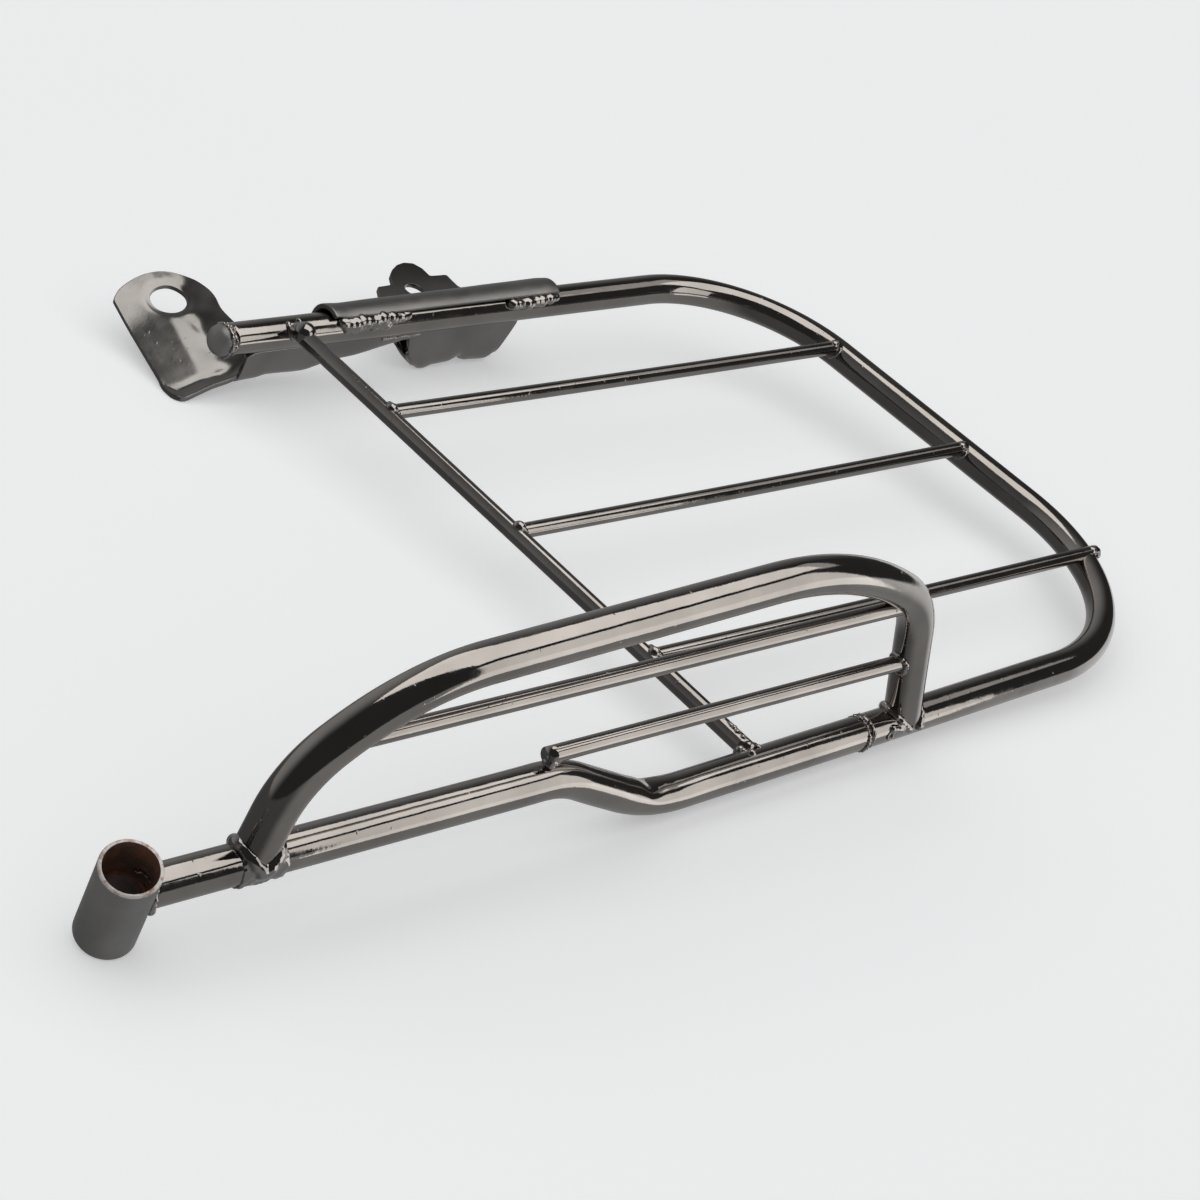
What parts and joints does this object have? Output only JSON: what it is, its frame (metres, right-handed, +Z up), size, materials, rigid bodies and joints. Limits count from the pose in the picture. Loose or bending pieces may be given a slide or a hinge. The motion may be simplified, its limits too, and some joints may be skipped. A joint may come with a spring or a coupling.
{
  "type": "motorcycle side guard",
  "caption": "Bent-tube side guard with a rod grid, an arched hoop, a slanted mounting bush at one end and a sheet bracket with bolt holes at the other.",
  "frame": {"origin": "on the axis of the mounting bush, level with the middle of the rail it is welded to", "axes": "+X along the rail from the bush to the end bend, +Y from the hoop side to the bracket side, +Z up from the floor the guard lies on"},
  "size_m": [0.5564, 0.3461, 0.0981],
  "materials": {
    "tube_black": "gloss black enamel, mirror-like, with fine specks",
    "rod_black": "gloss black enamel",
    "sheet_black": "satin to gloss black enamel on pressed sheet",
    "weld_black": "gloss black enamel over lumpy weld metal",
    "bush_black": "black enamel outside, bare worn rim, rusty bore"
  },
  "bodies": {
    "root": {"rail_tube": "tube_black", "loop_tube": "tube_black", "loop_end_cap": "tube_black", "hoop_tube": "tube_black", "cross_rod": "rod_black", "grid_rod_near": "rod_black", "grid_rod_middle": "rod_black", "grid_rod_far": "rod_black", "hoop_rod_lower": "rod_black", "hoop_rod_upper": "rod_black", "mount_bush": "bush_black", "strap_with_ear": "sheet_black", "rear_lug": "sheet_black", "tube_saddle": "sheet_black", "bush_weld": "weld_black", "seam_weld": "weld_black", "end_cap_weld": "weld_black", "hoop_left_weld": "weld_black", "hoop_right_weld": "weld_black", "cross_rod_near_weld": "weld_black", "cross_rod_far_weld": "weld_black", "grid_rod_left_welds": "weld_black", "grid_rod_right_welds": "weld_black", "hoop_rod_lower_welds": "weld_black", "hoop_rod_upper_welds": "weld_black", "saddle_weld_left": "weld_black", "saddle_weld_right": "weld_black", "strap_weld": "weld_black"}
  },
  "joints": []
}
